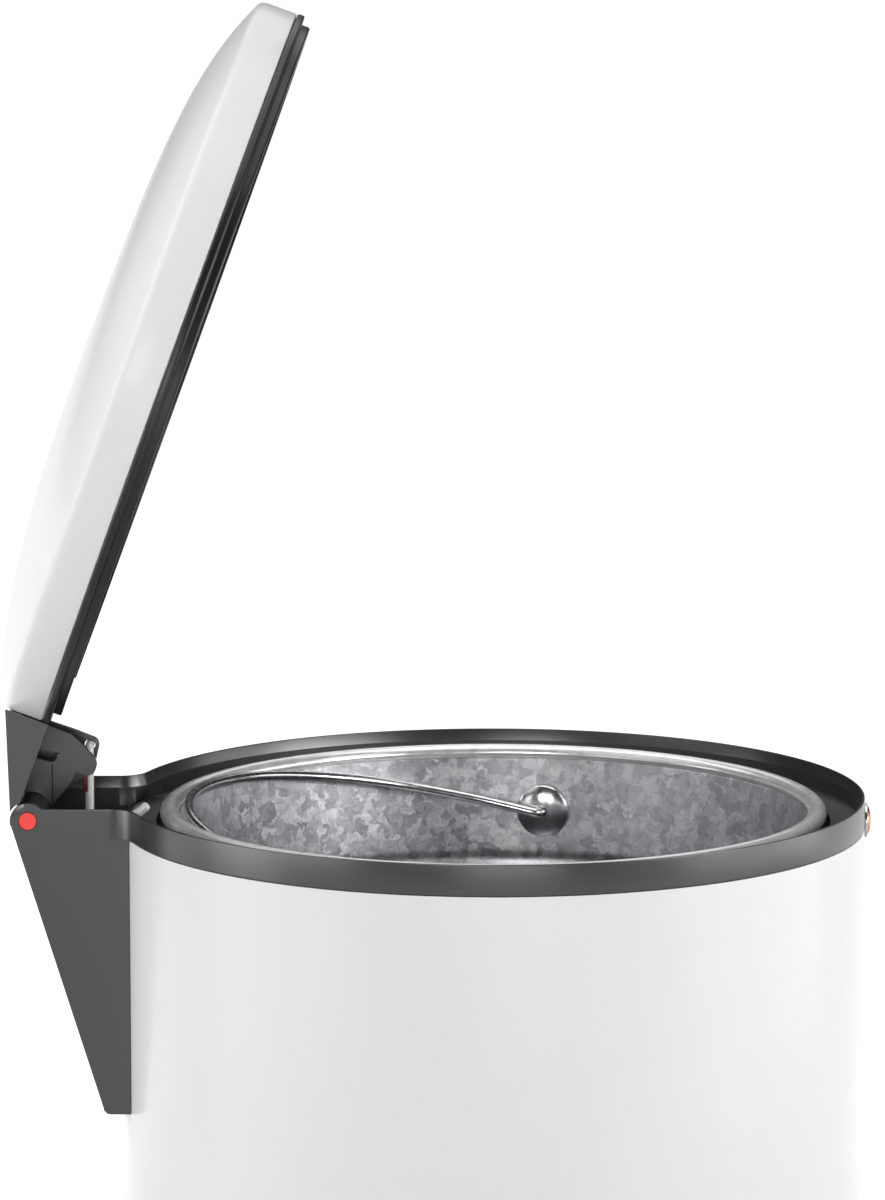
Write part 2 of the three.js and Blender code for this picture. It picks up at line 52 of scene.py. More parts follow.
# Sizes taken from the frame
BODY_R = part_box("body_shell")[1].x
SHELL_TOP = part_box("body_shell")[1].z
SHELL_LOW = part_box("body_shell")[0].z
COLLAR_TOP = SHELL_TOP + 12.5 * MM
HINGE = Vector(JOINTS["lid_hinge"]["pos_m"])
LID_OPEN = math.radians(JOINTS["lid_hinge"]["range_deg"][1])
HOOK = Vector(JOINTS["rod_hook"]["pos_m"])
PEDAL_AXLE = Vector(JOINTS["pedal_hinge"]["pos_m"])
EAR_AXIS = Vector(JOINTS["handle_swing"]["axis"])
EAR_Z = JOINTS["handle_swing"]["pos_m"][2]
CHEEK_X = -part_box("hinge_cap_left")[0].x - 0.3 * MM
BUCKET_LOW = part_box("bucket_wall")[0].z
BUCKET_TURN = math.atan2(EAR_AXIS.y, EAR_AXIS.x)
BEAD_R = 130.9 * MM
BEAD_WIRE_R = 3.8 * MM
BEAD_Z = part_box("bucket_wall")[1].z - BEAD_WIRE_R

# Turns a piece modelled with the lid closed into its stored, open place.
OPEN_LID = Matrix.Translation(HINGE) @ Matrix.Rotation(-LID_OPEN, 4, "X") @ Matrix.Translation(-HINGE)
TURN_BUCKET = Matrix.Rotation(BUCKET_TURN, 4, "Z")
LEVER_TILT = math.radians(5.65)
TILT_PEDAL = Matrix.Translation(PEDAL_AXLE) @ Matrix.Rotation(LEVER_TILT, 4, "X")

# Sizes in millimetres; heights are above the collar's top edge
HINGE_AT = (185.7, -4.8)  # lid pivot in the side view: y and height
KNUCKLE_R = 7.2  # rounded top of the hinge housing
BARREL_R = 6.4  # tubes of the lid arms around the pin
COLLAR_H = 12.2
COLLAR_WALL = 2.2
LEDGE_R = 136
LEDGE_DROP = 10
FILLET_R = 11.0  # where the collar's ring meets a hinge cheek
HOUSING_DROP = 124.5
CROWN = 37.6  # top of the dome
STOP_WIRE_X = -25
STOP_WIRE_R = 1.9
LEVER_REAR = 186.5  # pedal axle to the rod's foot
ROD_LOW_Y = 141.5
BUCKET_FOOT_R = 112.0
EAR_R = 11.3
EAR_FACE = 125
BAIL_R = 116.0
BAIL_LEG = 10.0
BAIL_WIRE_R = 2
BAIL_TILT = math.radians(12.2)
BASE_H = 24
FLOOR_POSTS = ((72, 52), (-72, 52), (72, -64), (-72, -64))
SLOT_HALF = 24  # half width of the pedal's opening
SLOT_DEPTH = (-0.16, -0.13)  # y range cut for the pedal's opening, in metres

CAMERA_PLACE = (-2.2660, 0.0205, COLLAR_TOP + 0.4238)  # metres
CAMERA_PITCH = math.radians(8.66)
CAMERA_LENS = 170.85  # mm

FINE = 224  # sides of the large round pieces
SMALL = 64  # sides of small round pieces
ROD_R = 1.75 * MM
FLAT_AREA = 150e-6  # faces above this size stay flat on pieces with bevelled edges


# ---------- mesh helpers ----------

def new_object(name, verts, faces):
    mesh = bpy.data.meshes.new(name)
    mesh.from_pydata([tuple(v) for v in verts], [], faces)
    obj = bpy.data.objects.new(name, mesh)
    bpy.context.scene.collection.objects.link(obj)
    return obj


def clean(obj, distance=1e-6):
    """Merges doubled points, drops empty faces and turns all faces outwards."""
    bm = bmesh.new()
    bm.from_mesh(obj.data)
    bmesh.ops.remove_doubles(bm, verts=bm.verts, dist=distance)
    bmesh.ops.dissolve_degenerate(bm, edges=bm.edges, dist=distance)
    bmesh.ops.recalc_face_normals(bm, faces=bm.faces)
    bm.to_mesh(obj.data)
    bm.free()
    return obj


def arc(cx, cy, r, start, end, steps):
    """Points on an arc between two angles in degrees."""
    turn = [math.radians(start + (end - start) * i / steps) for i in range(steps + 1)]
    return [(cx + r * math.cos(a), cy + r * math.sin(a)) for a in turn]


def round_corners(points, radii, steps=5):
    """Rounds each corner of a closed outline; radii holds one radius, or one for each corner."""
    if not isinstance(radii, (list, tuple)):
        radii = [radii] * len(points)
    out = []
    for i, here in enumerate(points):
        p = Vector(here)
        a = Vector(points[i - 1]) - p
        b = Vector(points[(i + 1) % len(points)]) - p
        if radii[i] <= 0 or a.length == 0 or b.length == 0:
            out.append(tuple(p))
            continue
        half = a.angle(b) / 2
        if half > math.radians(88):
            out.append(tuple(p))
            continue
        cut = min(radii[i] / math.tan(half), a.length * 0.49, b.length * 0.49)
        start, end = p + a.normalized() * cut, p + b.normalized() * cut
        for k in range(steps + 1):
            t = k / steps
            out.append(tuple((1 - t) ** 2 * start + 2 * t * (1 - t) * p + t * t * end))
    return out


def lathe(name, profile, sides=FINE, closed=True):
    """Turns a profile of (radius, z) about Z. A closed profile joins its last point to its first."""
    n = len(profile)
    verts, faces = [], []
    for i in range(sides):
        a = 2 * math.pi * i / sides
        verts += [(r * math.cos(a), r * math.sin(a), z) for r, z in profile]
    for i in range(sides):
        j = (i + 1) % sides
        for k in range(n if closed else n - 1):
            m = (k + 1) % n
            faces.append((i * n + k, j * n + k, j * n + m, i * n + m))
    return clean(new_object(name, verts, faces))


def prism(name, outline, low, high, axis="X"):
    """Extrudes a closed outline along an axis. The outline is (y, z) for X, (x, z) for Y, (x, y) for Z."""
    n = len(outline)
    order = {"X": (2, 0, 1), "Y": (0, 2, 1), "Z": (0, 1, 2)}[axis]
    verts = []
    for height in (low, high):
        for point in outline:
            values = (*point, height)
            verts.append(tuple(values[i] for i in order))
    faces = [tuple(range(n)), tuple(range(2 * n - 1, n - 1, -1))]
    faces += [(i, (i + 1) % n, n + (i + 1) % n, n + i) for i in range(n)]
    return clean(new_object(name, verts, faces))


def box(name, low, high):
    """A block between two corners given in millimetres."""
    (x0, y0, z0), (x1, y1, z1) = [[c * MM for c in corner] for corner in (low, high)]
    return prism(name, [(y0, z0), (y1, z0), (y1, z1), (y0, z1)], x0, x1)


def sweep(name, path, section, closed=False):
    """Moves a section of (inward, z) points along a flat path of (x, y) points."""
    count, n = len(path), len(section)
    verts, faces = [], []
    for i, p in enumerate(path):
        before = Vector(path[i - 1]) if i or closed else Vector(p)
        after = Vector(path[(i + 1) % count]) if i < count - 1 or closed else Vector(p)
        along = (after - before).normalized()
        inward = Vector((-along.y, along.x))
        verts += [(p[0] + inward.x * u, p[1] + inward.y * u, z) for u, z in section]
    for i in range(count if closed else count - 1):
        j = (i + 1) % count
        faces += [(i * n + k, j * n + k, j * n + (k + 1) % n, i * n + (k + 1) % n) for k in range(n)]
    if not closed:
        faces += [tuple(range(n)), tuple(range((count - 1) * n, count * n))]
    return clean(new_object(name, verts, faces))


def bent(corners, bend, steps=8):
    """A path through corner points with each corner rounded."""
    points = [Vector(c) for c in corners]
    path = [points[0]]
    for i in range(1, len(points) - 1):
        p = points[i]
        start = p + (points[i - 1] - p).normalized() * bend
        end = p + (points[i + 1] - p).normalized() * bend
        path += [(1 - k / steps) ** 2 * start + 2 * k / steps * (1 - k / steps) * p + (k / steps) ** 2 * end
                 for k in range(steps + 1)]
    return path + [points[-1]]


def catmull(points, steps=10):
    """A smooth path through the points."""
    pts = [Vector(p) for p in points]
    pts = [2 * pts[0] - pts[1]] + pts + [2 * pts[-1] - pts[-2]]
    path = []
    for i in range(1, len(pts) - 2):
        a, b, c, d = pts[i - 1:i + 3]
        for k in range(steps):
            t = k / steps
            path.append(0.5 * (2 * b + (c - a) * t + (2 * a - 5 * b + 4 * c - d) * t * t
                               + (3 * b - a - 3 * c + d) * t ** 3))
    return path + [pts[-2]]


def wire(name, path, radius, sides=24, round_end=0.6):
    """A round wire along a path, with both ends rounded over."""
    rings = []
    normal = None
    for i, p in enumerate(path):
        along = (path[min(i + 1, len(path) - 1)] - path[max(i - 1, 0)]).normalized()
        if normal is None:
            normal = along.orthogonal().normalized()
        normal = (normal - along * normal.dot(along)).normalized()
        side = along.cross(normal)
        rings.append((p, along, normal, side, radius))
    caps = 4
    cap = round_end * radius

    def end_rings(ring, sign):
        p, along, normal, side, _ = ring
        out = []
        for k in range(1, caps + 1):
            a = math.radians(88) * k / caps
            size = radius - cap * (1 - math.cos(a))
            out.append((p + along * (sign * cap * math.sin(a)), along, normal, side, size))
        return out

    rings[0] = (path[0] + rings[0][1] * cap,) + rings[0][1:]
    rings[-1] = (path[-1] - rings[-1][1] * cap,) + rings[-1][1:]
    rings = end_rings(rings[0], -1)[::-1] + rings + end_rings(rings[-1], 1)
    verts = []
    for p, _, normal, side, r in rings:
        for k in range(sides):
            a = 2 * math.pi * k / sides
            verts.append(p + normal * (r * math.cos(a)) + side * (r * math.sin(a)))
    faces = []
    for i in range(len(rings) - 1):
        for k in range(sides):
            m = (k + 1) % sides
            faces.append((i * sides + k, i * sides + m, (i + 1) * sides + m, (i + 1) * sides + k))
    last = (len(rings) - 1) * sides
    faces += [tuple(range(sides)), tuple(range(last, last + sides))]
    return clean(new_object(name, verts, faces))


def apply_modifiers(obj):
    graph = bpy.context.evaluated_depsgraph_get()
    mesh = bpy.data.meshes.new_from_object(obj.evaluated_get(graph))
    obj.modifiers.clear()
    old = obj.data
    obj.data = mesh
    mesh.name = obj.name
    bpy.data.meshes.remove(old)
    return obj


def combine(obj, others, operation):
    """Joins the other solids to obj, or cuts them from it."""
    for other in others:
        modifier = obj.modifiers.new("solid", "BOOLEAN")
        modifier.object = other
        modifier.operation = operation
        modifier.solver = "EXACT"
        apply_modifiers(obj)
        bpy.data.objects.remove(other)
    return clean(obj)


def bevel(obj, width, segments=2, angle=38):
    modifier = obj.modifiers.new("edges", "BEVEL")
    modifier.width = width
    modifier.segments = segments
    modifier.limit_method = "ANGLE"
    modifier.angle_limit = math.radians(angle)
    modifier.use_clamp_overlap = True
    return apply_modifiers(obj)


def done(obj, body, material, nodes=(), place=None, smooth=35, flat=False):
    """Puts a piece in place, shades it, gives it its material and ties it to its body."""
    if place is not None:
        obj.data.transform(place)
    obj.data.shade_smooth()
    obj.data.set_sharp_from_angle(angle=math.radians(smooth))
    if flat:
        for face in obj.data.polygons:
            face.use_smooth = face.area < FLAT_AREA
    obj.data.materials.clear()
    obj.data.materials.append(material)
    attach(obj, body)
    if nodes:
        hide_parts(*nodes)
    return obj


# ---------- materials ----------

class Nodes:
    """Short calls for building a material's nodes."""

    def __init__(self, name):
        self.material = bpy.data.materials.new(name)
        self.material.use_nodes = True
        self.tree = self.material.node_tree
        self.shader = self.tree.nodes["Principled BSDF"]
        self.place = self.add("ShaderNodeTexCoord").outputs["Object"]

    def add(self, kind, **inputs):
        node = self.tree.nodes.new(kind)
        for key, value in inputs.items():
            socket = node.inputs[key.replace("_", " ")]
            if isinstance(value, bpy.types.NodeSocket):
                self.tree.links.new(value, socket)
            else:
                socket.default_value = value
        return node

    def noise(self, scale, detail=3.0, roughness=0.5, place=None):
        node = self.add("ShaderNodeTexNoise", Vector=place or self.place, Scale=scale, Detail=detail,
                        Roughness=roughness)
        return node.outputs["Fac"]

    def stretched(self, scale):
        node = self.add("ShaderNodeMapping", Vector=self.place, Scale=scale)
        return node.outputs["Vector"]

    def spread(self, value, low, high, start=0.3, end=0.7):
        node = self.add("ShaderNodeMapRange", Value=value)
        node.inputs["From Min"].default_value = start
        node.inputs["From Max"].default_value = end
        node.inputs["To Min"].default_value = low
        node.inputs["To Max"].default_value = high
        return node.outputs["Result"]

    def colours(self, value, stops):
        node = self.add("ShaderNodeValToRGB", Fac=value)
        ramp = node.color_ramp
        while len(ramp.elements) < len(stops):
            ramp.elements.new(0.5)
        for element, (position, colour) in zip(ramp.elements, stops):
            element.position = position
            element.color = (*colour, 1)
        return node.outputs["Color"]

    def mix(self, factor, a, b):
        node = self.add("ShaderNodeMix")
        node.data_type = "RGBA"
        for socket, value in ((0, factor), (6, a), (7, b)):
            if isinstance(value, bpy.types.NodeSocket):
                self.tree.links.new(value, node.inputs[socket])
            else:
                node.inputs[socket].default_value = value if socket == 0 else (*value, 1)
        return node.outputs[2]

    def bump(self, height, strength, distance, normal=None):
        node = self.add("ShaderNodeBump", Height=height, Strength=strength, Distance=distance)
        if normal is not None:
            self.tree.links.new(normal, node.inputs["Normal"])
        return node.outputs["Normal"]

    def set(self, **inputs):
        for key, value in inputs.items():
            socket = self.shader.inputs[key.replace("_", " ")]
            if isinstance(value, bpy.types.NodeSocket):
                self.tree.links.new(value, socket)
            else:
                socket.default_value = value
        return self.material


def coated_steel():
    """White powder coat: a faint orange peel, slight smudges and rubbed patches."""
    n = Nodes("coated_steel")
    smudge = n.noise(9, 4, 0.55)
    speck = n.noise(2600, 1)
    colour = n.colours(smudge, [(0.3, (0.775, 0.775, 0.782)), (0.7, (0.80, 0.80, 0.805))])
    worn = n.mix(n.spread(n.noise(38, 5, 0.7), 0, 0.3, 0.60, 0.75), colour, (0.72, 0.72, 0.725))
    rough = n.spread(smudge, 0.20, 0.26)
    peel = n.bump(n.noise(420, 2), 0.10, 0.0004)
    return n.set(Base_Color=worn, Roughness=rough, IOR=1.33, Normal=n.bump(speck, 0.05, 0.0001, peel))


def moulded_plastic(name, dark, light, low, high, grain, ior):
    """Moulded plastic: fine spark-eroded grain, cloudy gloss and faint scuffs."""
    n = Nodes(name)
    cloud = n.noise(14, 4, 0.6)
    colour = n.colours(cloud, [(0.3, dark), (0.7, light)])
    scuff = n.noise(90, 5, 0.7, n.stretched((1, 0.25, 1)))
    worn = n.mix(n.spread(scuff, 0, 0.5, 0.62, 0.74), colour, tuple(c * 1.6 + 0.006 for c in light))
    rough = n.spread(cloud, low, high)
    fine = n.noise(grain, 2, 0.6)
    return n.set(Base_Color=worn, Roughness=rough, IOR=ior,
                 Normal=n.bump(fine, 0.12, 0.0001))


def red_plastic(name, dark, light):
    n = Nodes(name)
    cloud = n.noise(160, 3)
    colour = n.colours(cloud, [(0.3, dark), (0.7, light)])
    return n.set(Base_Color=colour, Roughness=n.spread(cloud, 0.38, 0.5),
                 Normal=n.bump(n.noise(1500, 2), 0.1, 0.0001))


def rubber():
    n = Nodes("black_rubber")
    cloud = n.noise(60, 4)
    colour = n.colours(cloud, [(0.3, (0.018, 0.018, 0.018)), (0.7, (0.032, 0.031, 0.03))])
    return n.set(Base_Color=colour, Roughness=n.spread(cloud, 0.62, 0.8),
                 Normal=n.bump(n.noise(1800, 3), 0.3, 0.0002))


def galvanised_sheet():
    """Hot-dip zinc: interlocking spangle flakes of a few millimetres that differ in tone and gloss."""
    n = Nodes("galvanised_sheet")
    warp = n.add("ShaderNodeTexNoise", Vector=n.place, Scale=240.0, Detail=3.0)
    shift = n.add("ShaderNodeVectorMath")
    shift.operation = "SCALE"
    shift.inputs["Scale"].default_value = 0.009
    n.tree.links.new(warp.outputs["Color"], shift.inputs[0])
    moved = n.add("ShaderNodeVectorMath")
    n.tree.links.new(n.place, moved.inputs[0])
    n.tree.links.new(shift.outputs["Vector"], moved.inputs[1])
    where = moved.outputs["Vector"]
    tones = []
    for scale, channel in ((230.0, "Red"), (460.0, "Green")):
        flakes = n.add("ShaderNodeTexVoronoi", Vector=where, Scale=scale, Randomness=1.0)
        tones.append(n.add("ShaderNodeSeparateColor", Color=flakes.outputs["Color"]).outputs[channel])
    total = n.add("ShaderNodeMath")
    total.operation = "MULTIPLY_ADD"
    n.tree.links.new(tones[1], total.inputs[0])
    total.inputs[1].default_value = 0.5
    n.tree.links.new(tones[0], total.inputs[2])
    tone = n.spread(total.outputs[0], 0, 1, 0.1, 1.4)
    cloud = n.noise(28, 3)
    flake = n.colours(tone, [(0.0, (0.44, 0.45, 0.47)), (0.5, (0.65, 0.66, 0.675)),
                             (1.0, (0.92, 0.93, 0.94))])
    colour = n.mix(n.spread(cloud, 0, 0.35), flake, (0.60, 0.605, 0.62))
    rough = n.spread(tone, 0.30, 0.42, 0, 1)
    height = n.bump(tone, 0.22, 0.0002)
    fine = n.bump(n.noise(900, 3), 0.08, 0.0001, height)
    return n.set(Base_Color=colour, Metallic=1.0, Roughness=rough, Normal=fine)


def smooth_zinc():
    """Zinc on the rolled rim: rubbed smooth, with faint flakes."""
    n = Nodes("galvanised_rim")
    flakes = n.add("ShaderNodeTexVoronoi", Vector=n.place, Scale=240.0, Randomness=1.0)
    tone = n.add("ShaderNodeSeparateColor", Color=flakes.outputs["Color"]).outputs["Red"]
    colour = n.colours(tone, [(0.0, (0.84, 0.845, 0.85)), (1.0, (0.95, 0.95, 0.955))])
    return n.set(Base_Color=colour, Metallic=0.55, Roughness=n.spread(tone, 0.19, 0.26, 0, 1),
                 Normal=n.bump(n.noise(500, 2), 0.03, 0.0001))


def bright_wire():
    """Galvanised wire: bright, with drawn streaks and small dull spots."""
    n = Nodes("galvanised_wire")
    spots = n.noise(260, 3)
    colour = n.colours(spots, [(0.3, (0.60, 0.61, 0.62)), (0.7, (0.80, 0.80, 0.80))])
    return n.set(Base_Color=colour, Metallic=1.0, Roughness=n.spread(spots, 0.15, 0.22),
                 Normal=n.bump(n.noise(1100, 2), 0.02, 0.00005))


def dull_zinc():
    """Zinc-plated rod: satin, with fine mottling along it."""
    n = Nodes("zinc_rod")
    spots = n.noise(700, 3, 0.6)
    colour = n.colours(spots, [(0.3, (0.62, 0.62, 0.63)), (0.7, (0.90, 0.90, 0.90))])
    return n.set(Base_Color=colour, Metallic=0.3, Roughness=n.spread(spots, 0.42, 0.55),
                 Normal=n.bump(spots, 0.12, 0.0001))


def plated_steel():
    """Bright plating with light rubbed marks."""
    n = Nodes("bright_steel")
    marks = n.noise(500, 4, place=n.stretched((1, 1, 0.2)))
    cloud = n.noise(40, 3)
    colour = n.colours(cloud, [(0.3, (0.66, 0.66, 0.67)), (0.7, (0.80, 0.80, 0.805))])
    return n.set(Base_Color=colour, Metallic=1.0, Roughness=n.spread(marks, 0.13, 0.24),
                 Normal=n.bump(marks, 0.05, 0.0001))


def copper():
    n = Nodes("copper_trim")
    marks = n.noise(900, 3)
    colour = n.colours(marks, [(0.3, (0.80, 0.24, 0.13)), (0.7, (0.92, 0.34, 0.20))])
    return n.set(Base_Color=colour, Metallic=1.0, Roughness=n.spread(marks, 0.24, 0.36),
                 Normal=n.bump(marks, 0.06, 0.0001))


COATED = coated_steel()
DARK = moulded_plastic("dark_plastic", (0.012, 0.012, 0.0125), (0.015, 0.015, 0.0155), 0.27, 0.32, 1500, 2.0)
BLACK = moulded_plastic("black_plastic", (0.008, 0.008, 0.0085), (0.012, 0.012, 0.0125), 0.28, 0.36, 1400,
                        1.5)
RED = red_plastic("red_plastic", (0.93, 0.055, 0.045), (1.0, 0.075, 0.06))
# A darker copy of the red plastic: painted shade for the clip, which sits in shade inside the hinge housing.
SHADED_RED = red_plastic("red_plastic_painted_shade", (0.10, 0.012, 0.014), (0.13, 0.016, 0.018))
RUBBER = rubber()
ZINC = galvanised_sheet()
SMOOTH_ZINC = smooth_zinc()
WIRE = bright_wire()
DULL_ZINC = dull_zinc()
PLATED = plated_steel()
COPPER = copper()


# ---------- bin body ----------

def up(points):
    """Heights given in millimetres above the collar's top edge, as metres."""
    return [(a * MM, COLLAR_TOP + b * MM) for a, b in points]


def pin_line(x0, x1):
    """The hinge pin's line between two places given in millimetres."""
    return [Vector((x * MM, HINGE.y, HINGE.z)) for x in (x0, x1)]


def body_shell():
    wall = 0.8 * MM
    profile = round_corners([(BODY_R - wall, SHELL_LOW), (BODY_R, SHELL_LOW), (BODY_R, SHELL_TOP),
                             (BODY_R - wall, SHELL_TOP)], 0.3 * MM, 3)
    shell = lathe("shell", profile)
    half = SLOT_HALF * MM
    corners = [(-half, 0), (half, 0), (half, 56 * MM), (-half, 56 * MM)]
    arch = round_corners(corners, [0, 0, 8 * MM, 8 * MM], 6)
    pedal_slot = prism("cut", arch, *SLOT_DEPTH, "Y")
    rod_slot = prism("cut", up([(140, -122), (160, -122), (160, -42), (140, -42)]), -6 * MM, 6 * MM)
    combine(shell, [pedal_slot, rod_slot], "DIFFERENCE")
    done(shell, "bin", COATED, ["body_shell"])


def collar():
    """Collar band, ledge, hinge cheeks and housing, as one moulding."""
    cheek = CHEEK_X / MM
    ring_r = BODY_R / MM
    # centre of the concave fillet between the ring and a cheek
    fx = cheek + FILLET_R
    fy = math.sqrt((ring_r + FILLET_R) ** 2 - fx ** 2)
    touch = math.degrees(math.atan2(fy, fx))
    right = [(cheek, 180.0)] + arc(fx, fy, FILLET_R, 180, 180 + touch, 14)
    ring = arc(0, 0, ring_r, touch, -180 - touch, FINE)[1:-1]
    left = [(-x, y) for x, y in reversed(right)]
    path = [(x * MM, y * MM) for x, y in right + ring + left]
    top, low, wall = COLLAR_TOP, COLLAR_TOP - COLLAR_H * MM, COLLAR_WALL * MM
    section = round_corners([(0, low), (0, top), (0.9 * MM, top), (wall, top - 4.6 * MM), (wall, low)],
                            [0.35 * MM, 0.4 * MM, 0.4 * MM, 0.8 * MM, 0.2 * MM], 4)
    band = sweep("collar", path, [(-u, z) for u, z in section])
    inner = (ring_r - COLLAR_WALL + 0.4) * MM
    ledge_r, ledge_top = LEDGE_R * MM, COLLAR_TOP - LEDGE_DROP * MM
    ledge_section = [(ledge_r, low), (inner, low), (inner, ledge_top), (ledge_r, ledge_top)]
    ledge = lathe("part", round_corners(ledge_section, [0.5 * MM, 0, 0, 0.5 * MM], 4))
    inside = cheek - COLLAR_WALL
    foot = [(156.5, -121.8), *arc(153.6, -121.5, 3, -20, -90, 5), (149.2, -HOUSING_DROP)]
    outline = [(179, 0), *arc(*HINGE_AT, KNUCKLE_R, 138, -14, 20), (192.5, -6.4), *foot,
               (140, -HOUSING_DROP), (140, -12), (179, -12)]
    sides = [prism("part", up(outline), x0 * MM, x1 * MM) for x0, x1 in ((-cheek, -inside), (inside, cheek))]
    back = [(187.3, -14), (189.9, -14), *foot, (149.2, -122.3), (153.2, -122.3)]
    rear = prism("part", up(back), (-inside - 0.5) * MM, (inside + 0.5) * MM)
    combine(band, [ledge, *sides, rear], "UNION")
    space_r, space_top = (ring_r + 0.25) * MM, low - 0.01 * MM
    shell_space = lathe("cut", [(0, 0.2), (space_r, 0.2), (space_r, space_top), (0, space_top)])
    pin_hole = wire("cut", pin_line(-50, 50), 3.75 * MM, SMALL, 0.01)
    combine(band, [shell_space, pin_hole], "DIFFERENCE")
    bevel(band, 0.35 * MM, 2)
    done(band, "bin", DARK, ["rim_collar"], smooth=30, flat=True)


def hinge_caps():
    for side, node in ((-1, "hinge_cap_left"), (1, "hinge_cap_right")):
        profile = round_corners([(0, -1.2 * MM), (3.5 * MM, -1.2 * MM), (3.5 * MM, 0), (0, 0)],
                                [0, 0, 0.35 * MM, 0], 4)
        cap = lathe(f"cap_{node[10:]}", profile, SMALL, closed=False)
        turn = Matrix.Translation((side * (CHEEK_X + 0.3 * MM), HINGE.y, HINGE.z)) @ Matrix.Rotation(
            side * math.pi / 2, 4, "Y")
        done(cap, "bin", RED, [node], turn)


def stop_wire():
    x = STOP_WIRE_X * MM
    path = bent([(x, 154.6 * MM, COLLAR_TOP - 70.5 * MM), (x, 154.6 * MM, COLLAR_TOP - 13.2 * MM),
                 (x, 138.2 * MM, COLLAR_TOP - 0.4 * MM)], 6 * MM)
    stop = wire("stop_rod", path, STOP_WIRE_R * MM, 24, 0.8)
    done(stop, "bin", DULL_ZINC, ["stop_wire"])


def badge():
    place = Matrix.Translation((0, -BODY_R - 0.3 * MM, COLLAR_TOP - 11.4 * MM))
    front = place @ Matrix.Rotation(math.pi / 2, 4, "X")
    section = [(6 * MM, 0), (7 * MM, 0), (7 * MM, 1.1 * MM), (6 * MM, 1.1 * MM)]
    ring = lathe("badge_rim", round_corners(section, [0, 0, 0.4 * MM, 0.2 * MM], 4), SMALL)
    done(ring, "bin", PLATED, ["badge_ring"], front)
    dome = [(0, 0), (5.7 * MM, 0)] + [(5.7 * MM * math.cos(a), (1.1 + 1.5 * math.sin(a)) * MM)
                                      for a in (math.radians(7.5 * i) for i in range(13))]
    button = lathe("badge_button", dome, SMALL, closed=False)
    done(button, "bin", COPPER, ["badge_dome"], front)


# ---------- lid ----------

def dome_height(r):
    k = r / 150
    return CROWN - 6 * k ** 2 - 13 * k ** 5


def lid_shell():
    radii = [146.2 * math.sin(math.radians(90 * i / 40)) for i in range(41)]
    outer = [(r, dome_height(r)) for r in radii]
    corner = [(148.4, 19.6), (149.5, 18.2), (150, 16.4)]
    hem = [(150, 4.4), (149.8, 3.8), (149.2, 3.6), (148.8, 4.2)]
    inner = [(148.8, 16.2), (148.0, 18.2), (145.6, 20.4)]
    under = [(r, z - 1.0) for r, z in reversed(outer)][2:]
    shell = lathe("lid_dome", up(outer + corner + hem + inner + under), closed=False)
    done(shell, "lid", COATED, ["lid_shell"], OPEN_LID, smooth=50)


def lid_liner():
    section = [(118, 1.2), (143.4, 1.2), (144.1, -3.2), (146.6, -3.2), (146.6, 0.3), (150.3, 0.3),
               (150.3, 3.3), (118, 3.3)]
    profile = round_corners(up(section), [r * MM for r in (0.4, 0.8, 0.6, 0.9, 0.4, 0.9, 0.9, 0.4)], 4)
    liner = lathe("lid_trim", profile)
    skirt_gap = prism("cut", up([(120, -6), (160, -6), (160, 0.35), (120, 0.35)]), -45 * MM, 45 * MM)
    rear_cut = prism("cut", up([(144.9, -6), (170, -6), (170, 6), (144.9, 6)]), -CHEEK_X - 0.3 * MM,
                     CHEEK_X + 0.3 * MM)
    combine(liner, [skirt_gap, rear_cut], "DIFFERENCE")
    done(liner, "lid", BLACK, ["lid_liner"], OPEN_LID)


def hinge_cover():
    swing = 7.9
    outline = [(143, 0.4), (143, 20), *arc(*HINGE_AT, swing, 97, 138, 8)]
    cover = prism("cover", up(outline), -CHEEK_X, CHEEK_X)
    inside = prism("cut", up([(100, -10), (100, 35.3), (179.7, 2.7), (190.7, -10)]), -CHEEK_X + 2.2 * MM,
                   CHEEK_X - 2.2 * MM)
    round_front = lathe("cut", [(0, 0.2), (150.7 * MM, 0.2), (150.7 * MM, 0.5), (0, 0.5)])
    combine(cover, [inside, round_front], "DIFFERENCE")
    bevel(cover, 0.5 * MM, 2)
    done(cover, "lid", DARK, ["hinge_cover"], OPEN_LID, smooth=30, flat=True)


ARM_TOP = [(152.4, 1.0), (152.4, 13.2), (173, 4.6)]
NEAR_ARM = [(182.6, -12.2), (179.8, -12.5), (175.9, -14.1), (171.8, -15.6), (168, -16.2), (166.3, -16.2),
            (166.2, -17.6), (166.3, -20.2), (165.6, -21.9), (164.3, -23.1), (162.4, -23.4), (160.2, -23.1),
            (158.6, -21.9), (157.8, -20.8), (155.1, -15.6), (152.7, -10.2), (152.6, -9.6)]
FAR_ARM = [(182.6, -12.2), (173.5, -16.5), (169.6, -19.8), (166, -22), (160.5, -22.2),
           *arc(155.9, -18.1, 3.5, 270, 190, 12), (152.2, -10.5)]


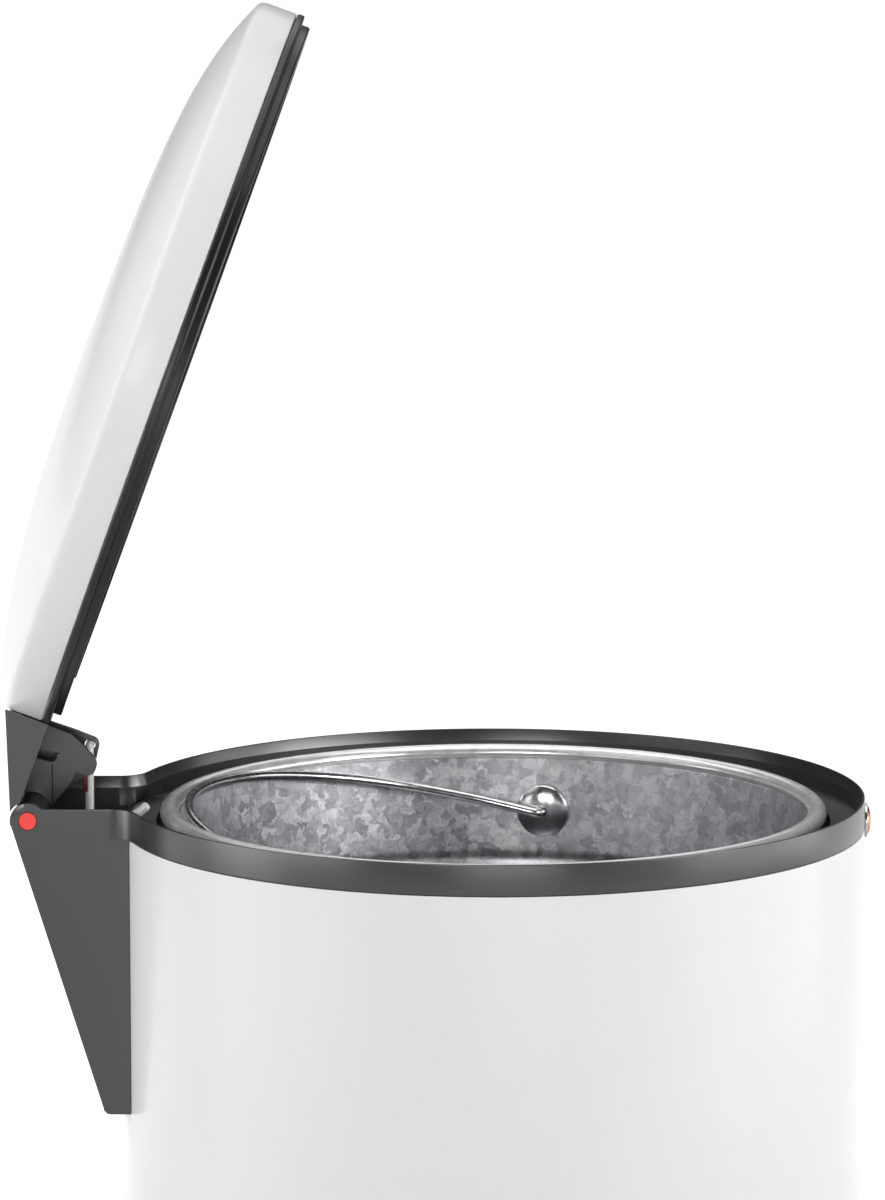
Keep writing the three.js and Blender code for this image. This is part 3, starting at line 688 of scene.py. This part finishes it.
def lid_arms():
    for node, low, plate, barrel in (("lid_arm_left", NEAR_ARM, (-7, -4), (-34.9, -4)),
                                     ("lid_arm_right", FAR_ARM, (4, 7), (4, 34.9))):
        outline = ARM_TOP + arc(*HINGE_AT, BARREL_R, 130, -130, 20) + low
        arm = prism("arm_" + node[8:], up(outline), plate[0] * MM, plate[1] * MM)
        tube = wire("part", pin_line(*barrel), BARREL_R * MM, SMALL, 0.02)
        combine(arm, [tube], "UNION")
        bore = wire("cut", pin_line(-50, 50), 2.9 * MM, 32, 0.01)
        cuts = [bore]
        if node == "lid_arm_right":
            eye = OPEN_LID.inverted() @ HOOK
            cuts.append(wire("cut", [Vector((x * MM, eye.y, eye.z)) for x in (2, 9)], 2.2 * MM, 32, 0.01))
        else:
            pocket = [(161.1, -7.7), (162.2, -6.6), (163.4, -7.1), (164.9, -6.6), (165.9, -5.6), (166.4, 0.4),
                      (162.1, 1.3)]
            cuts.append(prism("cut", up(round_corners(pocket, 0.5, 4)), -8 * MM, -3 * MM))
            seam = [(166.6, -6.5), (182.6, -12.4), (182.8, -12.0), (166.75, -6.0)]
            cuts.append(prism("cut", up(seam), -8 * MM, -6.6 * MM))
        combine(arm, cuts, "DIFFERENCE")
        bevel(arm, 0.3 * MM, 2)
        done(arm, "lid", DARK, [node], OPEN_LID, smooth=30, flat=True)


# ---------- push rod ----------

def push_rod():
    foot = PEDAL_AXLE.z + LEVER_REAR * MM * math.sin(LEVER_TILT)
    low_y = ROD_LOW_Y * MM
    path = bent([(8.4 * MM, HOOK.y, HOOK.z), (0, HOOK.y, HOOK.z), (0, HOOK.y, COLLAR_TOP - 52 * MM),
                 (0, low_y, COLLAR_TOP - 78 * MM), (0, low_y, foot), (12 * MM, low_y, foot)], 4 * MM)
    done(wire("lift_wire", path, ROD_R, 24), "lift_rod", DULL_ZINC, ["push_rod"])


def rod_clip():
    """A small C-shaped clip that grips the rod from behind; its red is darkened as painted shade."""
    r = ROD_R + 0.3 * MM
    turns = [math.radians(70 - 10 * i) for i in range(15)]
    inner = [(r * math.sin(a), HOOK.y + r * math.cos(a)) for a in turns]
    y0, y1, half = HOOK.y + 0.7 * MM, HOOK.y + 2.6 * MM, 2.9 * MM
    outline = [(half, y0), (half, y1), (-half, y1), (-half, y0)] + inner[::-1]
    clip = prism("rod_grip", outline, HOOK.z - 18 * MM, HOOK.z - 8 * MM, "Z")
    bevel(clip, 0.2 * MM, 2)
    done(clip, "lift_rod", SHADED_RED, ["rod_clip"])


# ---------- bucket ----------

def bucket():
    foot, wall = BUCKET_FOOT_R, 0.8
    low = (BUCKET_LOW - COLLAR_TOP) / MM
    bead_z = (BEAD_Z - COLLAR_TOP) / MM
    bead_r, r = BEAD_R / MM, BEAD_WIRE_R / MM
    bead = arc(bead_r, bead_z, r, 180, -150, 40)
    inner_top = bead_r - r
    slope = (inner_top - foot + 1) / (bead_z - low - 8)
    swage = [(z, 0.55 * math.exp(-((z + 52) / 2.2) ** 2)) for z in range(-62, -41, 1)]
    inner = [(foot - 1, low), (foot - 1, low + 8)]
    inner += [(foot - 1 + (z - low - 8) * slope + bump, z) for z, bump in swage]
    outer = [(r_in + wall, z) for r_in, z in reversed(inner)]
    wall_top = inner_top + 0.15
    sheet = inner + [(wall_top - 0.1, bead_z - 2), (wall_top + 0.5, bead_z - 1.6)] + outer
    done(lathe("bucket_sheet", up(sheet)), "bucket", ZINC, ["bucket_wall"],
         TURN_BUCKET, 50)
    roll = bead + [(bead_r - r + 1.4, bead_z - r + 0.5), (bead_r - r + 0.75, bead_z - 1.2)]
    done(lathe("bucket_rim", up(roll)), "bucket", SMOOTH_ZINC, ["bucket_wall"],
         TURN_BUCKET, 60)
    r_in = foot - 1.3
    plate = [(0, low + 4.2), (60, low + 4.2), (62, low + 5.0), (66, low + 5.0), (68, low + 4.2),
             (r_in - 3, low + 4.2), (r_in - 3, low + 0.1), (r_in, low + 0.1), (r_in, low + 5.2),
             (69, low + 5.2), (66.5, low + 6.0), (61.5, low + 6.0), (59, low + 5.2), (0, low + 5.2)]
    done(lathe("bucket_base", up(plate), closed=False), "bucket", ZINC, ["bucket_bottom"],
         TURN_BUCKET, 40)


def ears():
    for side, node in ((-1, "ear_left"), (1, "ear_right")):
        rim = arc(0, -8.0, 12.6, 26.5, 80, 14)
        profile = [(2.5, 0), (EAR_R, 0), (EAR_R, 0.5)]
        profile += [(x, max(0.5, (y + 8) * 0.365)) for x, y in rim if x < EAR_R - 0.1]
        profile += [(2.5, 4.5)]
        ear = lathe(f"boss_{node[4:]}", [(a * MM, b * MM) for a, b in profile], SMALL)
        place = Matrix.Translation((side * EAR_FACE * MM, 0, EAR_Z))
        turn = place @ Matrix.Rotation(-side * math.pi / 2, 4, "Y")
        done(ear, "bucket", PLATED, [node], TURN_BUCKET @ turn, 60)


def bail():
    r, leg = BAIL_R, BAIL_LEG
    side = [(123.4, 0), (119.4, 0), (117.2, 0.9), (116.2, 3.2), (r, leg)]
    side += [(r * math.cos(math.radians(a)), leg + r * math.sin(math.radians(a))) for a in range(6, 91, 6)]
    points = [Vector((x * MM, y * MM, 0)) for x, y in side]
    points += [Vector((-p.x, p.y, 0)) for p in reversed(points[:-1])]
    lean = Matrix.Translation((0, 0, EAR_Z)) @ Matrix.Rotation(BAIL_TILT, 4, "X")
    done(wire("bucket_handle", catmull(points, 6), BAIL_WIRE_R * MM, 24), "handle", WIRE,
         ["bail"], TURN_BUCKET @ lean)


# ---------- base and pedal ----------

def base():
    """Base tray with posts for the inner floor, bearings for the pedal axle and a slot for the lever."""
    z1, lip = BASE_H * MM, 148.4 * MM
    profile = round_corners([(0, 0), (138 * MM, 0), (138 * MM, 1.5 * MM), (146 * MM, 1.5 * MM), (146 * MM, 0),
                             (BODY_R, 0), (BODY_R, z1), (lip, z1), (lip, z1 + 10 * MM),
                             (146 * MM, z1 + 10 * MM), (146 * MM, 4 * MM), (0, 4 * MM)],
                            [0, 0, 0, 0, 0.4 * MM, 1.2 * MM, 0.5 * MM, 0, 0.4 * MM, 0.4 * MM, 1 * MM, 0], 4)
    tray = lathe("base_dish", profile)
    half = SLOT_HALF * MM
    slot = round_corners([(-half, 6 * MM), (half, 6 * MM), (half, 60 * MM), (-half, 60 * MM)], 2 * MM, 4)
    cuts = [prism("cut", slot, *SLOT_DEPTH, "Y"), box("cut", (4, 140, 4), (10.4, 147.4, 60))]
    parts = []
    for x, y in FLOOR_POSTS:
        for name, radius, low, high, group in (("part", 7, 3, 57.7, parts), ("cut", 2.3, 44, 59, cuts)):
            section = [(0, low), (radius, low), (radius, high), (0, high)]
            post = lathe(name, [(r * MM, z * MM) for r, z in section], SMALL, closed=False)
            post.data.transform(Matrix.Translation((x * MM, y * MM, 0)))
            group.append(post)
    for x in (-16, 16):
        parts.append(box("part", (x - 5, -55, 3), (x + 5, -35, 31)))
        cuts.append(box("cut", (x - 6, -48.5, 30), (x + 6, -41.5, 32)))
        ends = [Vector(((x + dx) * MM, PEDAL_AXLE.y, PEDAL_AXLE.z)) for dx in (-6, 6)]
        cuts.append(wire("cut", ends, 3.5 * MM, 32, 0.01))
    combine(tray, parts, "UNION")
    combine(tray, cuts, "DIFFERENCE")
    bevel(tray, 0.3 * MM, 2)
    done(tray, "bin", BLACK, ["base_tray"], smooth=30, flat=True)
    foot_section = [(138.3 * MM, 0), (145.7 * MM, 0), (145.7 * MM, 1.2 * MM), (138.3 * MM, 1.2 * MM)]
    foot = lathe("foot_ring", round_corners(foot_section, 0.2 * MM, 3))
    done(foot, "bin", RUBBER, ["floor_ring"])


def pedal():
    half, front = 32, -146
    corners = [(-half, -108), (-half, front), (half, front), (half, -108),
               (14, -108), (14, -88), (-14, -88), (-14, -108)]
    outline = round_corners(corners, [3, 16, 16, 3, 2, 4, 4, 2], 8)
    plate = prism("pedal_tread", [(x * MM, y * MM) for x, y in outline], 6.3 * MM, 8.8 * MM, "Z")
    bevel(plate, 0.5 * MM, 3)
    done(plate, "pedal", PLATED, ["pedal_plate"], TILT_PEDAL)
    inset = 3
    side, end = half - inset, front + inset
    pad_line = round_corners([(-side, -110), (-side, end), (side, end), (side, -110)], [2, 13, 13, 2], 8)
    pad = prism("pedal_grip", [(x * MM, y * MM) for x, y in pad_line], 9.1 * MM, 11.4 * MM, "Z")
    ribs = []
    for i in range(5):
        y = -114 - i * 6
        line = round_corners([(-22, y - 1.2), (22, y - 1.2), (22, y + 1.2), (-22, y + 1.2)], 1.1, 4)
        ribs.append(prism("part", [(x * MM, yy * MM) for x, yy in line], 11 * MM, 12.6 * MM, "Z"))
    combine(pad, ribs, "UNION")
    bevel(pad, 0.35 * MM, 2)
    done(pad, "pedal", RUBBER, ["pedal_pad"], TILT_PEDAL)


def dress_cad_nodes():
    """CAD pieces that keep their own shape get the materials of their slots."""
    looks = {"black_plastic": BLACK, "dark_plastic": DARK, "bright_steel": PLATED, "red_plastic": RED,
             "black_rubber": RUBBER, "galvanised_wire": WIRE, "galvanised_steel": ZINC,
             "coated_steel": COATED, "copper_trim": COPPER}
    for part in frame["record"]["subparts"]:
        obj = frame["nodes"][part["node"]]
        for slot in obj.material_slots:
            slot.material = looks[part["material_slot"]]


def build():
    body_shell()
    collar()
    hinge_caps()
    stop_wire()
    badge()
    lid_shell()
    lid_liner()
    hinge_cover()
    lid_arms()
    push_rod()
    rod_clip()
    bucket()
    ears()
    bail()
    base()
    pedal()
    dress_cad_nodes()


# ---------- floor, light and camera ----------

def softbox(name, place, aim, width, height, radiance):
    """A rectangular light of the given radiance: its power is radiance times pi times its area."""
    data = bpy.data.lights.new(name, "AREA")
    data.shape = "RECTANGLE"
    data.size, data.size_y = width, height
    data.energy = radiance * math.pi * width * height
    light = bpy.data.objects.new(name, data)
    bpy.context.scene.collection.objects.link(light)
    light.location = place
    light.rotation_euler = (Vector(aim) - Vector(place)).to_track_quat("-Z", "Y").to_euler()
    light.visible_camera = False


def studio():
    """Softboxes around and above the bin, a faint world light, and a floor that glows towards +X."""
    half, low = 30, -0.0005
    corners = [(-half, -half, low), (half, -half, low), (half, half, low), (-half, half, low)]
    floor = new_object("floor", corners, [(0, 1, 2, 3)])
    n = Nodes("floor_paint")
    along = n.add("ShaderNodeSeparateXYZ", Vector=n.place).outputs["X"]
    glow = n.spread(along, 0.12, 1.0, 0.3, 0.9)
    white = n.add("ShaderNodeCombineColor", Red=glow, Green=glow, Blue=glow).outputs["Color"]
    floor.data.materials.append(n.set(Base_Color=(0.5, 0.5, 0.5, 1), Roughness=0.9, Emission_Color=white,
                                      Emission_Strength=1.0))
    world = bpy.data.worlds.new("studio")
    bpy.context.scene.world = world
    world.use_nodes = True
    world.node_tree.nodes["Background"].inputs["Color"].default_value = (1, 1, 1, 1)
    world.node_tree.nodes["Background"].inputs["Strength"].default_value = 0.05
    softbox("softbox_right", (-0.16, -1.3, 0.52), (-0.16, 0, 0.52), 1.4, 0.8, 1.65)
    softbox("softbox_left", (-0.28, 1.3, 0.7), (-0.28, 0, 0.7), 0.52, 1.4, 1.1)
    softbox("softbox_front", (-1.8, -0.17, 0.39), (0, -0.17, 0.39), 0.84, 0.54, 1.65)
    softbox("softbox_front_low", (-2.0, 0.45, 0.88), (0, 0, 0.4), 0.8, 0.45, 6.5)
    softbox("softbox_front_right", (-1.0, -1.55, 0.87), (0, 0, 0.4), 1.3, 0.5, 6.0)
    softbox("softbox_high_right", (-0.7, -1.3, 1.5), (0, 0, 0.4), 0.8, 0.5, 1.6)
    softbox("panel_left", (-0.9, 2.2, 1.1), (0, 0, 0.4), 2.6, 2.2, 1.6)
    softbox("panel_high_left", (0.6, 1.6, 2.3), (0, 0.1, 0.5), 1.8, 1.8, 1.4)
    softbox("softbox_back", (3.0, 0, 2.9), (0, 0, 1.0), 2.4, 2.2, 0.9)
    softbox("softbox_top", (0.1, 0, 2.5), (0.1, 0, 0), 2.2, 2.2, 1.5)


def camera():
    """Exactly side-on from -X, above the rim and looking down by the camera's pitch."""
    data = bpy.data.cameras.new("camera")
    data.sensor_fit = "VERTICAL"
    data.sensor_height = 36
    data.lens = CAMERA_LENS
    data.clip_end = 100
    view = bpy.data.objects.new("camera", data)
    bpy.context.scene.collection.objects.link(view)
    view.location = CAMERA_PLACE
    view.rotation_euler = (math.pi / 2 - CAMERA_PITCH, 0, -math.pi / 2)
    bpy.context.scene.camera = view


build()
studio()
camera()
bpy.context.scene.view_settings.view_transform = "Standard"
